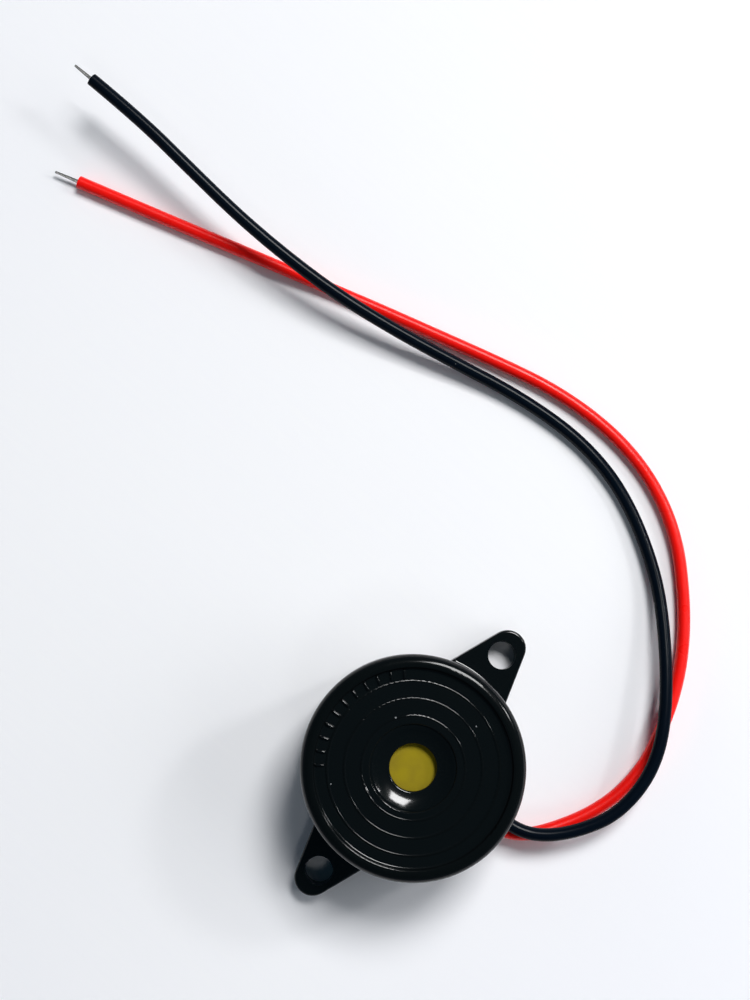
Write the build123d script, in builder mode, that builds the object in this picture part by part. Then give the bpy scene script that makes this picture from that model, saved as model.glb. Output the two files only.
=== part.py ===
from build123d import *
import math
import os

# Piezo buzzer: a round moulded can with two mounting ears, a brass sounder plate behind the
# sound hole, a small drive circuit on a board, and two leads. Millimetres. The origin is the
# centre of the base, +Z points out of the sound hole, +X runs along the ears, and the leads
# leave on the -Y side.

os.makedirs("parts", exist_ok=True)

# Housing: the can and its front
body_diameter = 23.0
body_height = 12.0
wall = 1.2
roof_thickness = 1.3
top_edge_radius = 1.0
rim_width = 1.4
dish_depth = 0.5
ridge_count = 3
ridge_inner_inset = 0.85
ridge_outer_inset = 1.35
ridge_width = 0.3
ridge_height = 0.07

# Housing: the funnel and the sound hole
sound_hole_diameter = 4.8
funnel_diameter = 8.8
funnel_step = 0.3
funnel_floor_width = 0.2
funnel_slope = 19.0
funnel_curve_radius = 4.0
lip_width = 0.3

# Housing: the ears
ear_reach = 3.5
ear_hole_diameter = 3.0
ear_thickness = 2.5
ear_web = 0.45
ear_tip_offset = 1.0
ear_root_radius = 7.15
ear_edge_radius = 0.3
ear_root_fillet = 0.4

# Housing: the ledge for the sounder plate, and the seat for the back cover
ledge_width = 1.3
front_cavity_height = 0.4
cover_seat_width = 0.5

# Back cover, with stake pins that carry the board
cover_thickness = 1.2
cover_clearance = 0.05
post_height = 2.2
post_diameter = 1.5
post_count = 3
post_start_angle = 62.0
pin_diameter = 0.9
pin_head_height = 0.4
post_inset = 1.1

# Sounder: brass plate, ceramic disc, silver electrodes and silicone bead
plate_clearance = 0.3
plate_thickness = 0.25
ceramic_margin = 3.0
ceramic_thickness = 0.22
electrode_margin = 0.6
electrode_thickness = 0.05
electrode_gap = 0.45
feedback_width = 2.4
bead_width = 0.7
bead_height = 0.85

# Circuit board
board_clearance = 0.8
board_thickness = 1.0
hole_clearance = 0.08

# Transistor, lying on its flat
transistor_width = 4.6
transistor_clearance = 1.38
transistor_length = 4.5
transistor_leg_width = 0.45
transistor_leg_thickness = 0.4
transistor_leg_pitch = 1.27
transistor_leg_reach = 0.9
transistor_leg_bend = 0.45
transistor_leg_level = 1.2

# Drum choke
choke_diameter = 5.2
choke_clearance = 0.88
choke_flange = 0.7
choke_waist_diameter = 2.6
choke_winding_diameter = 4.7
choke_leg_diameter = 0.5
choke_leg_pitch = 3.2

# Axial resistors
resistor_diameter = 1.8
resistor_waist_diameter = 1.5
resistor_length = 3.4
resistor_cap_length = 0.8
resistor_pitch = 5.8
resistor_leg_diameter = 0.45
resistor_leg_bend = 0.6

# Thin wires from the board to the sounder, and solder
disc_wire_diameter = 0.6
disc_wire_bend = 0.9
ground_wire_angle = -45.0
dot_diameter = 1.5
dot_height = 0.4
joint_diameter = 1.1
joint_height = 0.5
joint_taper = 30.0

# Leads: two insulated wires in a tilted window in the wall, with the black one higher
lead_diameter = 1.4
lead_core_diameter = 0.5
lead_tip_diameter = 0.42
lead_gap = 0.05
lead_lift = 0.1
lead_window_clearance = 0.06
lead_window_tilt = 45.0
lead_exit_offset = 1.35
lead_tail_length = 1.1
lead_core_length = 2.5
red_tip_length = 2.9
black_tip_length = 2.4
lead_joint_diameter = 0.9
lead_joint_cover = 0.3

# Cuts run this far past the faces that they open
overrun = 1.0

# Share of the shorter run that each arc of a lead takes
arc_share = 0.45

# Rounded edges of the front as shares of the step or the land that each one eases
rim_foot_share = 0.45
rim_edge_share = 0.4
funnel_edge_share = 0.5
lip_edge_share = 0.75

# Places on the board as shares of its radius, (x, y)
choke_place_shares = (-0.45, 0.33)
transistor_place_shares = (0.44, 0.36)
resistor_place_shares = {
    "bias_resistor": (-0.36, -0.20),
    "feedback_resistor": (-0.28, -0.55),
    "discharge_resistor": (0.38, -0.30),
}
disc_wire_place_shares = {
    "ground_wire": (0.66, -0.50),
    "main_wire": (-0.14, -0.375),
    "feedback_wire": (0.0, 0.66),
}
# Where the feedback electrode starts, and where the main wire lands, along the electrodes' radius
feedback_root_share = 0.44
main_dot_share = -0.5
# How far up the room between board and sounder each thin wire starts and ends its side step
wire_step_shares = (0.45, 0.75)

# Derived radii of the housing
body_radius = body_diameter / 2
dish_radius = body_radius - rim_width
bore_radius = body_radius - wall
cover_seat_radius = bore_radius + cover_seat_width
front_cavity_radius = bore_radius - ledge_width
sound_hole_radius = sound_hole_diameter / 2
funnel_radius = funnel_diameter / 2
cone_top_radius = funnel_radius - funnel_floor_width
cone_low_radius = sound_hole_radius + lip_width
ridge_inner_radius = funnel_radius + ridge_inner_inset
ridge_pitch = (dish_radius - ridge_outer_inset - ridge_inner_radius) / (ridge_count - 1)
ear_hole_place = body_radius + ear_reach
ear_tip_place = ear_hole_place + ear_tip_offset
ear_tip_radius = ear_hole_diameter / 2 + ear_web

# Derived radii of what the bore holds
plate_radius = bore_radius - plate_clearance
ceramic_radius = plate_radius - ceramic_margin
electrode_radius = ceramic_radius - electrode_margin
feedback_root = feedback_root_share * electrode_radius
board_radius = bore_radius - board_clearance

# Derived levels, from the front down and from the back up
dish_level = body_height - dish_depth
roof_level = dish_level - roof_thickness
ledge_level = roof_level - front_cavity_height
plate_level = ledge_level - plate_thickness
ceramic_level = plate_level - ceramic_thickness
electrode_level = ceramic_level - electrode_thickness
funnel_level = dish_level - funnel_step
cone_low_level = funnel_level - (cone_top_radius - cone_low_radius) * math.tan(math.radians(funnel_slope))
post_level = cover_thickness + post_height
board_level = post_level + board_thickness
component_room = electrode_level - board_level
choke_height = component_room - choke_clearance
transistor_depth = component_room - transistor_clearance

# Derived places of the leads in their window, each (x, level)
lead_spread = (lead_diameter + lead_gap) / 2
lead_side_step = lead_spread * math.cos(math.radians(lead_window_tilt))
lead_rise = lead_spread * math.sin(math.radians(lead_window_tilt))
window_level = cover_thickness + lead_lift + lead_diameter / 2 + lead_rise
red_exit = (lead_exit_offset - lead_side_step, window_level - lead_rise)
black_exit = (lead_exit_offset + lead_side_step, window_level + lead_rise)
exit_depth = body_radius - wall / 2

# The leads' routes, by hand, from the middle of the wall to the end of the insulation. The red
# one comes down to the table and passes under the black one three times.
red_route = [
    (red_exit[0], -exit_depth, red_exit[1]),
    (red_exit[0], -12.1, red_exit[1]),
    (1.64, -13.65, 1.74),
    (2.85, -14.9, 1.56),
    (4.3, -15.93, 1.45),
    (5.98, -16.93, 1.36),
    (8.2, -18.03, 1.28),
    (10.72, -18.86, 1.2),
    (12.75, -19.2, 1.15),
    (14.93, -19.28, 1.1),
    (17.06, -19.14, 1.05),
    (19.64, -18.46, 1),
    (23.08, -17.37, 0.9),
    (26.71, -15.64, 0.8),
    (30.22, -13.26, 0.74),
    (33.56, -10.31, 0.72),
    (36.79, -6.86, 0.72),
    (39.27, -2.85, 0.72),
    (41.01, 1.97, 0.72),
    (41.67, 7.83, 0.72),
    (41.05, 14.59, 0.72),
    (39.3, 21.22, 0.72),
    (37.28, 28.01, 0.72),
    (34.98, 35.74, 0.72),
    (32.57, 43.35, 0.72),
    (30.36, 50.41, 0.72),
    (28.31, 56.76, 0.72),
    (26.31, 63.17, 0.72),
    (24.26, 69.72, 0.72),
]
black_route = [
    (black_exit[0], -exit_depth, black_exit[1]),
    (black_exit[0], -12.1, black_exit[1]),
    (2.32, -13.9, 3.12),
    (3.25, -15.4, 3.2),
    (4.69, -16.9, 3.22),
    (6.73, -18.37, 3.22),
    (9.07, -19.57, 3.25),
    (11.27, -20.08, 3.28),
    (13.63, -20.17, 3.3),
    (15.99, -19.86, 3.3),
    (18.56, -18.97, 3.28),
    (21.27, -17.44, 3.1),
    (24.53, -15.06, 2.6),
    (28.33, -11.76, 1.8),
    (31.74, -8.23, 1.12),
    (34.25, -4.6, 0.82),
    (36.35, -0.64, 0.74),
    (37.83, 3.46, 0.72),
    (38.51, 7.91, 0.72),
    (38.45, 12.39, 0.74),
    (37.64, 18.23, 0.88),
    (36.27, 23.77, 1.4),
    (34.44, 31.29, 2.4),
    (33.09, 38.73, 3.35),
    (32.5, 45.34, 4.1),
    (32.37, 52.56, 4.7),
    (32.8, 60, 5.1),
    (33.34, 67.93, 5.4),
    (33.22, 74.68, 5.6),
]


def on_board(shares):
    """A place on the board from its shares of the board's radius."""
    return (shares[0] * board_radius, shares[1] * board_radius)


def corner_radii(route):
    """The largest arc that each corner of a route leaves room for."""
    points = [Vector(*point) for point in route]
    radii = []
    for before, corner, after in zip(points, points[1:], points[2:]):
        run_in = corner - before
        run_out = after - corner
        half_turn = math.radians(run_in.get_angle(run_out)) / 2
        radii.append(arc_share * min(run_in.length, run_out.length) / math.tan(half_turn))
    return radii


# Housing
with BuildPart() as housing:
    with BuildSketch():
        Circle(ear_root_radius)
        with Locations((ear_tip_place, 0), (-ear_tip_place, 0)):
            Circle(ear_tip_radius)
        make_hull()
    extrude(amount=ear_thickness)
    fillet(housing.faces().sort_by(Axis.Z)[-1].edges(), radius=ear_edge_radius)
    with BuildSketch():
        Circle(body_radius)
    extrude(amount=body_height)
    ear_roots = housing.edges().filter_by(GeomType.CIRCLE).filter_by(
        lambda edge: math.isclose(edge.radius, body_radius, rel_tol=1e-6)
        and math.isclose(edge.center().Z, ear_thickness, rel_tol=1e-6)
    )
    fillet(ear_roots, radius=ear_root_fillet)
    fillet(housing.edges().group_by(Axis.Z)[-1], radius=top_edge_radius)

    # Front: dish, funnel and sound hole in one cut
    with BuildSketch(Plane.XZ) as front:
        with BuildLine():
            outline = Polyline(
                (cone_low_radius, cone_low_level),
                (sound_hole_radius, cone_low_level),
                (sound_hole_radius, ledge_level),
                (0, ledge_level),
                (0, body_height + overrun),
                (dish_radius, body_height + overrun),
                (dish_radius, dish_level),
                (funnel_radius, dish_level),
                (funnel_radius, funnel_level),
                (cone_top_radius, funnel_level),
            )
            RadiusArc(outline @ 1, outline @ 0, funnel_curve_radius)
        make_face()
        for corner, radius in (
            ((dish_radius, dish_level, 0), rim_foot_share * dish_depth),
            ((funnel_radius, dish_level, 0), funnel_edge_share * funnel_step),
            ((sound_hole_radius, cone_low_level, 0), lip_edge_share * lip_width),
        ):
            fillet(front.vertices().sort_by_distance(corner)[0], radius=radius)
    revolve(axis=Axis.Z, mode=Mode.SUBTRACT)
    rim_edge = housing.edges().filter_by(GeomType.CIRCLE).filter_by(
        lambda edge: math.isclose(edge.radius, dish_radius, rel_tol=1e-6)
    )
    fillet(rim_edge.sort_by(Axis.Z)[-1], radius=rim_edge_share * dish_depth)

    # Ridges: rounded rings on the floor of the dish
    for ridge in range(ridge_count):
        ridge_radius = ridge_inner_radius + ridge * ridge_pitch
        with BuildSketch(Plane.XZ):
            with BuildLine():
                foot = Line(
                    (ridge_radius - ridge_width / 2, dish_level),
                    (ridge_radius + ridge_width / 2, dish_level),
                )
                ThreePointArc(foot @ 0, (ridge_radius, dish_level + ridge_height), foot @ 1)
            make_face()
        revolve(axis=Axis.Z)

    # Back: the cover's seat, the main bore up to the ledge, and the cavity in front of the plate
    with BuildSketch(Plane.XZ):
        with BuildLine():
            Polyline(
                (0, 0),
                (cover_seat_radius, 0),
                (cover_seat_radius, cover_thickness),
                (bore_radius, cover_thickness),
                (bore_radius, ledge_level),
                (front_cavity_radius, ledge_level),
                (front_cavity_radius, roof_level),
                (0, roof_level),
                close=True,
            )
        make_face()
    revolve(axis=Axis.Z, mode=Mode.SUBTRACT)

    # Screw holes, and the window for the leads
    with BuildSketch():
        with Locations((ear_hole_place, 0), (-ear_hole_place, 0)):
            Circle(ear_hole_diameter / 2)
    extrude(amount=ear_thickness, mode=Mode.SUBTRACT)
    with BuildSketch(Plane.XZ.offset(exit_depth)):
        with Locations((lead_exit_offset, window_level)):
            SlotOverall(
                2 * lead_diameter + lead_gap + 2 * lead_window_clearance,
                lead_diameter + 2 * lead_window_clearance,
                rotation=lead_window_tilt,
            )
    extrude(amount=wall / 2 + overrun, both=True, mode=Mode.SUBTRACT)
housing.part.label = "housing"
export_step(housing.part, "parts/housing.step")

# Back cover
post_circle = board_radius - post_inset
with BuildPart() as back_cover:
    with BuildSketch():
        Circle(cover_seat_radius - cover_clearance)
    extrude(amount=cover_thickness)
    with BuildSketch(Plane.XY.offset(cover_thickness)):
        with PolarLocations(post_circle, post_count, start_angle=post_start_angle):
            Circle(post_diameter / 2)
    extrude(amount=post_height)
    with BuildSketch(Plane.XY.offset(post_level)):
        with PolarLocations(post_circle, post_count, start_angle=post_start_angle):
            Circle(pin_diameter / 2)
    extrude(amount=board_thickness + pin_head_height)
back_cover.part.label = "back_cover"
export_step(back_cover.part, "parts/back_cover.step")

# Sounder: brass plate against the ledge, ceramic disc and electrodes behind it
with BuildPart() as brass_plate:
    with BuildSketch(Plane.XY.offset(plate_level)):
        Circle(plate_radius)
    extrude(amount=plate_thickness)
brass_plate.part.label = "brass_plate"
export_step(brass_plate.part, "parts/brass_plate.step")

with BuildPart() as ceramic_disc:
    with BuildSketch(Plane.XY.offset(ceramic_level)):
        Circle(ceramic_radius)
    extrude(amount=ceramic_thickness)
ceramic_disc.part.label = "ceramic_disc"
export_step(ceramic_disc.part, "parts/ceramic_disc.step")

with BuildPart() as main_electrode:
    with BuildSketch(Plane.XY.offset(electrode_level)):
        Circle(electrode_radius)
        with Locations((0, feedback_root)):
            Circle(feedback_width / 2 + electrode_gap, mode=Mode.SUBTRACT)
        with Locations((0, feedback_root)):
            Rectangle(
                feedback_width + 2 * electrode_gap,
                electrode_radius,
                align=(Align.CENTER, Align.MIN),
                mode=Mode.SUBTRACT,
            )
    extrude(amount=electrode_thickness)
main_electrode.part.label = "main_electrode"
export_step(main_electrode.part, "parts/main_electrode.step")

with BuildPart() as feedback_electrode:
    with BuildSketch(Plane.XY.offset(electrode_level)):
        with Locations((0, feedback_root)):
            Circle(feedback_width / 2)
            Rectangle(feedback_width, electrode_radius, align=(Align.CENTER, Align.MIN))
        Circle(electrode_radius, mode=Mode.INTERSECT)
    extrude(amount=electrode_thickness)
feedback_electrode.part.label = "feedback_electrode"
export_step(feedback_electrode.part, "parts/feedback_electrode.step")

with BuildPart() as bond_ring:
    with BuildSketch(Plane.XZ):
        with BuildLine():
            Polyline(
                (plate_radius - bead_width, plate_level),
                (plate_radius, plate_level),
                (plate_radius, ledge_level),
                (bore_radius, ledge_level),
                (bore_radius, plate_level - bead_height),
                close=True,
            )
        make_face()
    revolve(axis=Axis.Z)
bond_ring.part.label = "bond_ring"
export_step(bond_ring.part, "parts/bond_ring.step")

# Leg places: each with the clear hole that its leg needs in the board
choke_place = on_board(choke_place_shares)
transistor_place = on_board(transistor_place_shares)
leg_row = transistor_place[1] - transistor_length / 2 - transistor_leg_reach
choke_leg_places = [
    (choke_place[0] - choke_leg_pitch / 2, choke_place[1]),
    (choke_place[0] + choke_leg_pitch / 2, choke_place[1]),
]
transistor_leg_places = [
    (transistor_place[0] + leg * transistor_leg_pitch, leg_row) for leg in (-1, 0, 1)
]
resistor_leg_places = [
    (on_board(shares)[0] + side * resistor_pitch / 2, on_board(shares)[1])
    for shares in resistor_place_shares.values()
    for side in (-1, 1)
]
disc_wire_places = [on_board(shares) for shares in disc_wire_place_shares.values()]
joint_places = choke_leg_places + transistor_leg_places + resistor_leg_places + disc_wire_places

# Circuit board on the posts, with holes for the pins and the legs
transistor_leg_span = math.hypot(transistor_leg_width, transistor_leg_thickness)
with BuildPart() as circuit_board:
    with BuildSketch(Plane.XY.offset(post_level)):
        Circle(board_radius)
        with PolarLocations(post_circle, post_count, start_angle=post_start_angle):
            Circle(pin_diameter / 2 + hole_clearance, mode=Mode.SUBTRACT)
        with Locations(*choke_leg_places):
            Circle(choke_leg_diameter / 2 + hole_clearance, mode=Mode.SUBTRACT)
        with Locations(*transistor_leg_places):
            Circle(transistor_leg_span / 2 + hole_clearance, mode=Mode.SUBTRACT)
        with Locations(*resistor_leg_places):
            Circle(resistor_leg_diameter / 2 + hole_clearance, mode=Mode.SUBTRACT)
        with Locations(*disc_wire_places):
            Circle(disc_wire_diameter / 2 + hole_clearance, mode=Mode.SUBTRACT)
    extrude(amount=board_thickness)
circuit_board.part.label = "circuit_board"
export_step(circuit_board.part, "parts/circuit_board.step")

# Transistor: a round body with a flat, lying on that flat, with three bent legs
transistor_end = transistor_place[1] - transistor_length / 2
transistor_radius = transistor_width / 2
with BuildPart() as transistor_body:
    with BuildSketch(Plane.XZ.offset(-transistor_end)):
        with Locations((transistor_place[0], board_level + transistor_depth - transistor_radius)):
            Circle(transistor_radius)
        with Locations((transistor_place[0], board_level)):
            Rectangle(transistor_width, transistor_leg_thickness, align=(Align.CENTER, Align.MIN))
        make_hull()
        with Locations((transistor_place[0], board_level)):
            Rectangle(
                transistor_width,
                transistor_width,
                align=(Align.CENTER, Align.MAX),
                mode=Mode.SUBTRACT,
            )
    extrude(amount=-transistor_length)
transistor_body.part.label = "transistor_body"
export_step(transistor_body.part, "parts/transistor_body.step")

leg_level = board_level + transistor_leg_level
with BuildPart() as transistor_legs:
    for leg_x, leg_y in transistor_leg_places:
        with BuildLine() as leg_path:
            FilletPolyline(
                (leg_x, transistor_end, leg_level),
                (leg_x, leg_y, leg_level),
                (leg_x, leg_y, post_level),
                radius=transistor_leg_bend,
            )
        with BuildSketch(Plane.XZ.offset(-transistor_end)):
            with Locations((leg_x, leg_level)):
                Rectangle(transistor_leg_width, transistor_leg_thickness)
        sweep(path=leg_path.line)
transistor_legs.part.label = "transistor_legs"
export_step(transistor_legs.part, "parts/transistor_legs.step")

# Drum choke: a spool of ferrite with its winding, on two straight legs
choke_core_top = board_level + choke_height
with BuildPart() as choke_core:
    for level, diameter, height in (
        (board_level, choke_diameter, choke_flange),
        (board_level, choke_waist_diameter, choke_height),
        (choke_core_top - choke_flange, choke_diameter, choke_flange),
    ):
        with BuildSketch(Plane.XY.offset(level)):
            with Locations(choke_place):
                Circle(diameter / 2)
        extrude(amount=height)
choke_core.part.label = "choke_core"
export_step(choke_core.part, "parts/choke_core.step")

with BuildPart() as choke_winding:
    with BuildSketch(Plane.XY.offset(board_level + choke_flange)):
        with Locations(choke_place):
            Circle(choke_winding_diameter / 2)
            Circle(choke_waist_diameter / 2, mode=Mode.SUBTRACT)
    extrude(amount=choke_height - 2 * choke_flange)
choke_winding.part.label = "choke_winding"
export_step(choke_winding.part, "parts/choke_winding.step")

with BuildPart() as choke_legs:
    with BuildSketch(Plane.XY.offset(post_level)):
        with Locations(*choke_leg_places):
            Circle(choke_leg_diameter / 2)
    extrude(amount=board_thickness)
choke_legs.part.label = "choke_legs"
export_step(choke_legs.part, "parts/choke_legs.step")

# Resistors: a body with two thicker ends, and a bent leg at each end
resistor_half = resistor_length / 2
resistor_level = board_level + resistor_diameter / 2
cap_place = resistor_half - resistor_cap_length
waist_place = cap_place - (resistor_diameter - resistor_waist_diameter) / 2
for name, shares in resistor_place_shares.items():
    resistor_x, resistor_y = on_board(shares)
    with BuildPart() as resistor:
        with BuildSketch(Plane.XZ.offset(-resistor_y)):
            with BuildLine():
                Polyline(
                    (resistor_x - resistor_half, resistor_level),
                    (resistor_x - resistor_half, resistor_level + resistor_diameter / 2),
                    (resistor_x - cap_place, resistor_level + resistor_diameter / 2),
                    (resistor_x - waist_place, resistor_level + resistor_waist_diameter / 2),
                    (resistor_x + waist_place, resistor_level + resistor_waist_diameter / 2),
                    (resistor_x + cap_place, resistor_level + resistor_diameter / 2),
                    (resistor_x + resistor_half, resistor_level + resistor_diameter / 2),
                    (resistor_x + resistor_half, resistor_level),
                    close=True,
                )
            make_face()
        revolve(axis=Axis((resistor_x, resistor_y, resistor_level), (1, 0, 0)))
    resistor.part.label = name
    export_step(resistor.part, f"parts/{name}.step")

    with BuildPart() as resistor_legs:
        for side in (-1, 1):
            leg_x = resistor_x + side * resistor_pitch / 2
            with BuildLine() as leg_path:
                FilletPolyline(
                    (leg_x, resistor_y, post_level),
                    (leg_x, resistor_y, resistor_level),
                    (resistor_x + side * resistor_half, resistor_y, resistor_level),
                    radius=resistor_leg_bend,
                )
            with BuildSketch(Plane.XY.offset(post_level)):
                with Locations((leg_x, resistor_y)):
                    Circle(resistor_leg_diameter / 2)
            sweep(path=leg_path.line)
    resistor_legs.part.label = f"{name}_legs"
    export_step(resistor_legs.part, f"parts/{name}_legs.step")

# Thin wires from the board to the sounder: one to the plate, between the ceramic and the bead,
# and one to each electrode
ground_dot_radius = (ceramic_radius + plate_radius - bead_width) / 2
ground_turn = math.radians(ground_wire_angle)
wire_dots = {
    "ground_wire": (
        ground_dot_radius * math.cos(ground_turn),
        ground_dot_radius * math.sin(ground_turn),
        plate_level,
    ),
    "main_wire": (0, main_dot_share * electrode_radius, electrode_level),
    "feedback_wire": (0, (feedback_root + electrode_radius) / 2, electrode_level),
}
for name, shares in disc_wire_place_shares.items():
    start_x, start_y = on_board(shares)
    end_x, end_y, dot_level = wire_dots[name]
    room = dot_level - dot_height - board_level
    with BuildPart() as disc_wire:
        with BuildLine() as wire_path:
            FilletPolyline(
                (start_x, start_y, post_level),
                (start_x, start_y, board_level + wire_step_shares[0] * room),
                (end_x, end_y, board_level + wire_step_shares[1] * room),
                (end_x, end_y, board_level + room),
                radius=disc_wire_bend,
            )
        with BuildSketch(Plane.XY.offset(post_level)):
            with Locations((start_x, start_y)):
                Circle(disc_wire_diameter / 2)
        sweep(path=wire_path.line)
    disc_wire.part.label = name
    export_step(disc_wire.part, f"parts/{name}.step")

with BuildPart() as disc_solder:
    for dot_x, dot_y, dot_level in wire_dots.values():
        with BuildSketch(Plane.XY.offset(dot_level)):
            with Locations((dot_x, dot_y)):
                Circle(dot_diameter / 2)
        extrude(amount=-dot_height, taper=joint_taper)
disc_solder.part.label = "disc_solder"
export_step(disc_solder.part, "parts/disc_solder.step")

# Leads: a free tube along each route with its bare tip, and the tail and core inside the housing
core_end = exit_depth - lead_tail_length - lead_core_length
lead_joint_place = core_end + lead_joint_diameter / 4
lead_routes = {"red_lead": (red_route, red_tip_length), "black_lead": (black_route, black_tip_length)}
for name, (route, tip_length) in lead_routes.items():
    radii = corner_radii(route)
    with BuildPart() as lead:
        with BuildLine() as lead_path:
            FilletPolyline(*route, radius=radii)
        exit_plane = Plane(origin=lead_path.line @ 0, z_dir=-Axis.Y.direction)
        end_plane = Plane(origin=lead_path.line @ 1, z_dir=lead_path.line % 1)
        with BuildSketch(exit_plane):
            Circle(lead_diameter / 2)
        sweep(path=lead_path.line)
    lead.part.label = name
    export_step(lead.part, f"parts/{name}.step")
    lead_length = sum(edge.length for edge in lead_path.edges())
    section_volume = math.pi * (lead_diameter / 2) ** 2 * lead_length
    print(name, "length", round(lead_length, 2), "radii", [round(radius, 1) for radius in radii])
    print(name, "volume", round(lead.part.volume, 3), "section times length", round(section_volume, 3))

    with BuildPart() as lead_tip:
        with BuildSketch(end_plane):
            Circle(lead_tip_diameter / 2)
        extrude(amount=tip_length)
    lead_tip.part.label = f"{name}_tip"
    export_step(lead_tip.part, f"parts/{name}_tip.step")

    with BuildPart() as lead_tail:
        with BuildSketch(exit_plane):
            Circle(lead_diameter / 2)
        extrude(amount=-lead_tail_length)
    lead_tail.part.label = f"{name}_tail"
    export_step(lead_tail.part, f"parts/{name}_tail.step")

    with BuildPart() as lead_core:
        with BuildSketch(exit_plane.offset(-lead_tail_length)):
            Circle(lead_core_diameter / 2)
        extrude(amount=-lead_core_length)
    lead_core.part.label = f"{name}_core"
    export_step(lead_core.part, f"parts/{name}_core.step")

# Solder under the board: a joint below each leg, and a larger one round each lead's core
with BuildPart() as board_solder:
    for joint_place in joint_places:
        with BuildSketch(Plane.XY.offset(post_level)):
            with Locations(joint_place):
                Circle(joint_diameter / 2)
        extrude(amount=-joint_height, taper=joint_taper)
    for exit_place, exit_level in (red_exit, black_exit):
        joint_drop = post_level - exit_level + lead_core_diameter / 2 + lead_joint_cover
        with BuildSketch(Plane.XY.offset(post_level)):
            with Locations((exit_place, -lead_joint_place)):
                Circle(lead_joint_diameter / 2)
        extrude(amount=-joint_drop)
        with BuildSketch(Plane.XZ.offset(core_end)):
            with Locations((exit_place, exit_level)):
                Circle(lead_core_diameter / 2)
        extrude(amount=lead_joint_diameter, mode=Mode.SUBTRACT)
board_solder.part.label = "board_solder"
export_step(board_solder.part, "parts/board_solder.step")
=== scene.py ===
"""Dress the piezo buzzer: finishes for its solids, two leads, front marks and a plain studio.

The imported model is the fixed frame. Lengths are metres in the frame of the CAD model: the origin
is the centre of the base, +Z points out of the sound hole, +X runs along the ears, and the leads
leave on the -Y side.
"""
import logging
import math
from collections.abc import Callable
from dataclasses import asdict, dataclass, field, replace
from enum import Enum

import bpy
from mathutils import Matrix, Vector


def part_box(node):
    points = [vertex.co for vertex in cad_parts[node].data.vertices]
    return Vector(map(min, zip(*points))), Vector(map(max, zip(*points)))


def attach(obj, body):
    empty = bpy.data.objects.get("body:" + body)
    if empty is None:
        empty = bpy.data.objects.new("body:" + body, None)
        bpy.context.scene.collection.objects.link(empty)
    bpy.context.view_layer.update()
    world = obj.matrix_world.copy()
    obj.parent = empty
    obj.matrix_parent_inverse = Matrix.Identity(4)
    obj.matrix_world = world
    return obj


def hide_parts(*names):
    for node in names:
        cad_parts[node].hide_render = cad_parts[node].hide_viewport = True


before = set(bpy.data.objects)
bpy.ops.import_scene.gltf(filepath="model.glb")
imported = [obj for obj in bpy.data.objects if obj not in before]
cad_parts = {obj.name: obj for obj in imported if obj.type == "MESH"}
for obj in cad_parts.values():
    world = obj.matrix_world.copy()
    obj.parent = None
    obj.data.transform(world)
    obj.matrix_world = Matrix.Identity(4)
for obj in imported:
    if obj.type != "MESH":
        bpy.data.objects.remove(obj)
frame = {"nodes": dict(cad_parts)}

LOG = logging.getLogger("piezo_buzzer")
BODY = "root"

Colour = tuple[float, float, float]
Point = tuple[float, float, float]
Span = tuple[float, float]
Node = bpy.types.Node
Piece = bpy.types.Object
Socket = bpy.types.NodeSocket
Tree = bpy.types.NodeTree

WHOLE_SPAN: Span = (0.0, 1.0)
SLOW_SPAN: Span = (0.3, 0.7)
FINE_DETAIL = 2.0
SLOW_DETAIL = 1.0
SCRATCH_DETAIL = 3.0
SCRATCH_STRETCH: Point = (1.0, 9.0, 4.0)
SCRATCH_TURNS = (24.0, -61.0)
SCRATCH_SPAN: Span = (0.62, 0.74)
FACING_UP = 0.9


class Slot(Enum):
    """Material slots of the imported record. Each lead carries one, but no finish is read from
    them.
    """

    CASE = "case"
    LEAD_RED = "lead_red"
    LEAD_BLACK = "lead_black"
    TINNED = "tinned_metal"


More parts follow.
